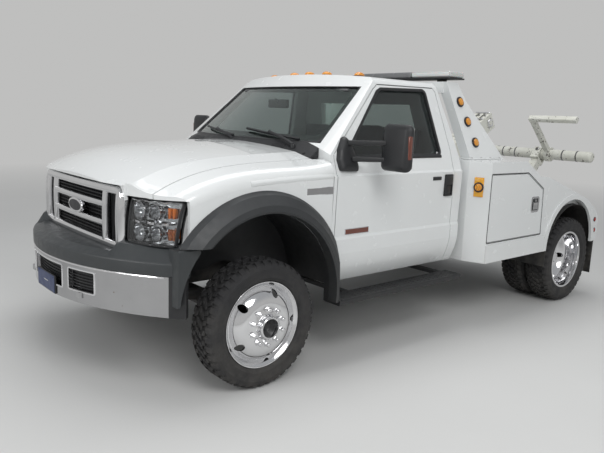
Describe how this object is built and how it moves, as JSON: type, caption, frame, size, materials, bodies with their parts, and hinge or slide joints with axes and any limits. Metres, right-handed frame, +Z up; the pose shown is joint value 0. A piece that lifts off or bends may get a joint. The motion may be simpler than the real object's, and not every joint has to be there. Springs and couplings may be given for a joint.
{
  "type": "tow truck",
  "caption": "White light tow truck: regular cab, dual rear wheels, steel tow body with side boxes, pylon, recovery boom and folded wheel lift.",
  "frame": {"origin": "on the ground under the middle of the truck's length and width", "axes": "+X forward, +Y to the driver's side (left), +Z up"},
  "size_m": [6.0412, 2.75, 2.088],
  "materials": {
    "body_paint": "gloss white paint",
    "lift_paint": "worn white paint over steel",
    "chassis_black": "satin black chassis paint",
    "tyre_rubber": "matte rubber",
    "polished_metal": "polished",
    "dark_plastic": "grained dark plastic",
    "clear_glass": "lightly tinted",
    "dark_glass": "dark tint",
    "lamp_clear": "clear lens",
    "lamp_amber": "translucent amber lens",
    "lamp_red": "translucent red lens",
    "seat_fabric": "grey cloth",
    "trim_grey": "soft-touch grey",
    "bare_steel": "worn steel",
    "flap_rubber": "matte sheet rubber"
  },
  "bodies": {
    "truck": {"cab_shell": "body_paint", "front_fenders": "body_paint", "deck": "body_paint", "pylon": "body_paint", "tow_body_left": "body_paint", "tow_body_right": "body_paint", "claw_right": "lift_paint", "chassis_frame": "chassis_black", "engine": "chassis_black", "front_axle": "chassis_black", "rear_axle": "chassis_black", "leaf_springs": "chassis_black", "fuel_tank": "chassis_black", "lift_base": "chassis_black", "winch": "chassis_black", "exhaust": "bare_steel", "front_bumper": "polished_metal", "grille": "polished_metal", "wheel_flares": "dark_plastic", "wheel_wells": "dark_plastic", "bumper_pad": "dark_plastic", "running_boards": "dark_plastic", "cowl": "dark_plastic", "cab_glass": "clear_glass", "light_bar": "dark_glass", "headlamps": "lamp_clear", "amber_lamps": "lamp_amber", "side_markers": "lamp_amber", "tail_lamps": "lamp_red", "bench_seat": "seat_fabric", "dashboard": "trim_grey", "mud_flaps": "flap_rubber"},
    "steering_left": {"knuckle_left": "chassis_black"},
    "front_wheel_left": {"tyre_front_left": "tyre_rubber", "rim_front_left": "polished_metal"},
    "rear_wheels_left": {"tyres_rear_left": "tyre_rubber", "rims_rear_left": "polished_metal"},
    "cab_door_left": {"door_left": "body_paint", "door_glass_left": "dark_glass", "mirror_left": "dark_plastic"},
    "side_door_left": {"box_door_left": "body_paint"},
    "steering_right": {"knuckle_right": "chassis_black"},
    "front_wheel_right": {"tyre_front_right": "tyre_rubber", "rim_front_right": "polished_metal"},
    "rear_wheels_right": {"tyres_rear_right": "tyre_rubber", "rims_rear_right": "polished_metal"},
    "cab_door_right": {"door_right": "body_paint", "door_glass_right": "dark_glass", "mirror_right": "dark_plastic"},
    "side_door_right": {"box_door_right": "body_paint"},
    "hood_lid": {"hood": "body_paint"},
    "boom": {"boom_outer": "lift_paint"},
    "boom_slide": {"boom_extension": "lift_paint"},
    "boom_barrel": {"boom_cylinder": "chassis_black"},
    "boom_piston": {"boom_rod": "bare_steel"},
    "lift": {"lift_arm": "lift_paint"},
    "lift_slide": {"stinger": "lift_paint"},
    "swivel_bar": {"crossbar": "lift_paint"},
    "claw_arm": {"claw_left": "lift_paint"}
  },
  "joints": [
    {"name": "steer_left", "type": "hinge", "parent": "truck", "child": "steering_left", "pos_m": [2.065, 0.8, 0.405], "axis": [0, 0, 1], "range_deg": [-32, 32]},
    {"name": "front_spin_left", "type": "hinge", "parent": "steering_left", "child": "front_wheel_left", "pos_m": [2.065, 0.96, 0.405], "axis": [0, 1, 0], "continuous": true},
    {"name": "rear_spin_left", "type": "hinge", "parent": "truck", "child": "rear_wheels_left", "pos_m": [-1.511, 0.943, 0.405], "axis": [0, 1, 0], "continuous": true},
    {"name": "door_open_left", "type": "hinge", "parent": "truck", "child": "cab_door_left", "pos_m": [1.441, 1.001, 1], "axis": [0, 0, -1], "range_deg": [0, 65]},
    {"name": "box_open_left", "type": "hinge", "parent": "truck", "child": "side_door_left", "pos_m": [-0.055, 1.2065, 1], "axis": [0, 0, -1], "range_deg": [0, 95]},
    {"name": "steer_right", "type": "hinge", "parent": "truck", "child": "steering_right", "pos_m": [2.065, -0.8, 0.405], "axis": [0, 0, 1], "range_deg": [-32, 32]},
    {"name": "front_spin_right", "type": "hinge", "parent": "steering_right", "child": "front_wheel_right", "pos_m": [2.065, -0.96, 0.405], "axis": [0, 1, 0], "continuous": true},
    {"name": "rear_spin_right", "type": "hinge", "parent": "truck", "child": "rear_wheels_right", "pos_m": [-1.511, -0.943, 0.405], "axis": [0, 1, 0], "continuous": true},
    {"name": "door_open_right", "type": "hinge", "parent": "truck", "child": "cab_door_right", "pos_m": [1.441, -1.001, 1], "axis": [0, 0, 1], "range_deg": [0, 65]},
    {"name": "box_open_right", "type": "hinge", "parent": "truck", "child": "side_door_right", "pos_m": [-0.055, -1.2065, 1], "axis": [0, 0, 1], "range_deg": [0, 95]},
    {"name": "hood_open", "type": "hinge", "parent": "truck", "child": "hood_lid", "pos_m": [1.476, 0, 1.486], "axis": [0, -1, 0], "range_deg": [0, 50]},
    {"name": "boom_raise", "type": "hinge", "parent": "truck", "child": "boom", "pos_m": [-0.43, 0, 0.985], "axis": [0, 1, 0], "range_deg": [-17, 20]},
    {"name": "boom_extend", "type": "slide", "parent": "boom", "child": "boom_slide", "axis": [-0.8704, 0, 0.4924], "range_m": [0, 0.6]},
    {"name": "barrel_swing", "type": "hinge", "parent": "truck", "child": "boom_barrel", "pos_m": [-0.62, 0, 0.79], "axis": [0, 1, 0], "range_deg": [-45, 45]},
    {"name": "rod_stroke", "type": "slide", "parent": "boom_barrel", "child": "boom_piston", "axis": [-0.7617, 0, 0.6479], "range_m": [-0.2, 0.2]},
    {"name": "lift_fold", "type": "hinge", "parent": "truck", "child": "lift", "pos_m": [-2.295, 0, 0.6], "axis": [0, -1, 0], "range_deg": [0, 61]},
    {"name": "lift_extend", "type": "slide", "parent": "lift", "child": "lift_slide", "axis": [-0.6592, 0, 0.7519], "range_m": [0, 0.35]},
    {"name": "crossbar_swivel", "type": "hinge", "parent": "lift_slide", "child": "swivel_bar", "pos_m": [-2.935, 0, 1.33], "axis": [0.7519, 0, 0.6592], "range_deg": [-20, 20]},
    {"name": "claw_turn", "type": "hinge", "parent": "swivel_bar", "child": "claw_arm", "pos_m": [-2.935, 0, 1.33], "axis": [0, -1, 0], "range_deg": [0, 90]}
  ],
  "couplings": [
    {"joint": "steer_right", "follows": "steer_left", "ratio": 1},
    {"joint": "barrel_swing", "follows": "boom_raise", "ratio": 1.0261},
    {"joint": "rod_stroke", "follows": "boom_raise", "m_per_rad": 0.267}
  ]
}
